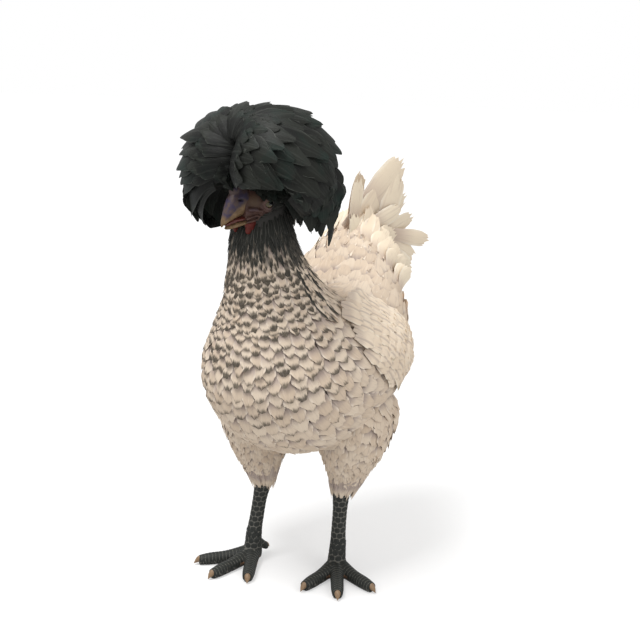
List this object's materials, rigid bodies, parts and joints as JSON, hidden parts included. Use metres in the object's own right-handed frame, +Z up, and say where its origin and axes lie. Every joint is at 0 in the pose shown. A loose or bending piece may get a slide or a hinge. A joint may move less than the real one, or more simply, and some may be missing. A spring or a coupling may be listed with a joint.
{
  "type": "standing polish crested hen",
  "caption": "Life-size standing crested hen with a round crest of broad feathers, upright fanned tail, folded wings, scaled legs and spread toes.",
  "frame": {"origin": "on the floor at the middle of the bird's outline seen from above", "axes": "+Z up, the bird's chest faces -Y and its left side is +X"},
  "size_m": [0.1882, 0.3446, 0.454],
  "materials": {
    "body_feather": "matt cream feathers, dark tips on the breast",
    "neck_feather": "matt charcoal feathers with thin pale edges",
    "crest_feather": "matt greenish black feathers",
    "face_skin": "bare red-brown skin",
    "wattle_skin": "soft red skin",
    "beak_horn": "horn, tan with a blue-grey ridge",
    "eye": "wet yellow-green iris with a dark pupil",
    "leg_scale": "slate-grey scales",
    "claw_horn": "tan horn"
  },
  "bodies": {
    "root": {"head": "face_skin", "upper_beak": "beak_horn", "lower_beak": "beak_horn", "eye_left": "eye", "eye_right": "eye", "ear_left": "face_skin", "ear_right": "face_skin", "wattle_left": "wattle_skin", "wattle_right": "wattle_skin", "crest": "crest_feather", "neck": "neck_feather", "torso": "body_feather", "tail": "body_feather", "wing_left": "body_feather", "wing_right": "body_feather", "thigh_left": "body_feather", "thigh_right": "body_feather", "shank_left": "leg_scale", "shank_right": "leg_scale", "foot_left": "leg_scale", "foot_right": "leg_scale", "claw_left_1": "claw_horn", "claw_left_2": "claw_horn", "claw_left_3": "claw_horn", "claw_left_4": "claw_horn", "claw_right_1": "claw_horn", "claw_right_2": "claw_horn", "claw_right_3": "claw_horn", "claw_right_4": "claw_horn"}
  },
  "joints": []
}
